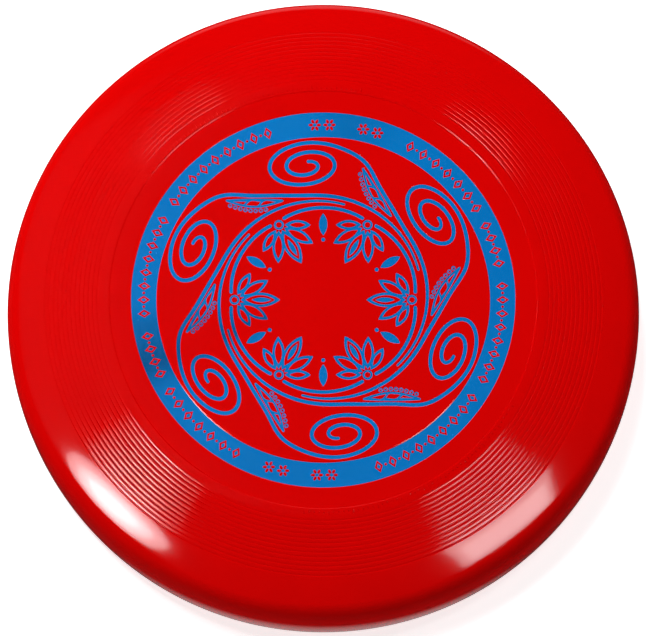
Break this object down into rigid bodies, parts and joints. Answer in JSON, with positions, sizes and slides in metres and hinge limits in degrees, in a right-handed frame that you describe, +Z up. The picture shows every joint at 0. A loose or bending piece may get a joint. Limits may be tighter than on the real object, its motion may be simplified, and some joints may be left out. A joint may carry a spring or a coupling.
{
  "type": "flying disc",
  "caption": "Round throwing disc with a flat top panel, concentric ridges, a deep rolled rim and a hot-stamped foil band and scroll ornament.",
  "frame": {"origin": "centre of the circle on which the rim rests", "axes": "+Z up through the middle of the top panel; +X and +Y lie in the rest plane, with +Y towards the rosettes of the band"},
  "size_m": [0.24, 0.24, 0.0274],
  "materials": {
    "red_polyethylene": "glossy moulded polyethylene",
    "blue_foil": "satin metallic hot-stamp foil"
  },
  "bodies": {
    "root": {"disc_moulding": "red_polyethylene", "foil_band": "blue_foil", "foil_lozenges": "blue_foil", "foil_scrolls": "blue_foil", "foil_pod_leaves": "blue_foil", "foil_pearls": "blue_foil", "foil_palmettes": "blue_foil", "foil_festoons": "blue_foil", "foil_drops": "blue_foil"}
  },
  "joints": []
}
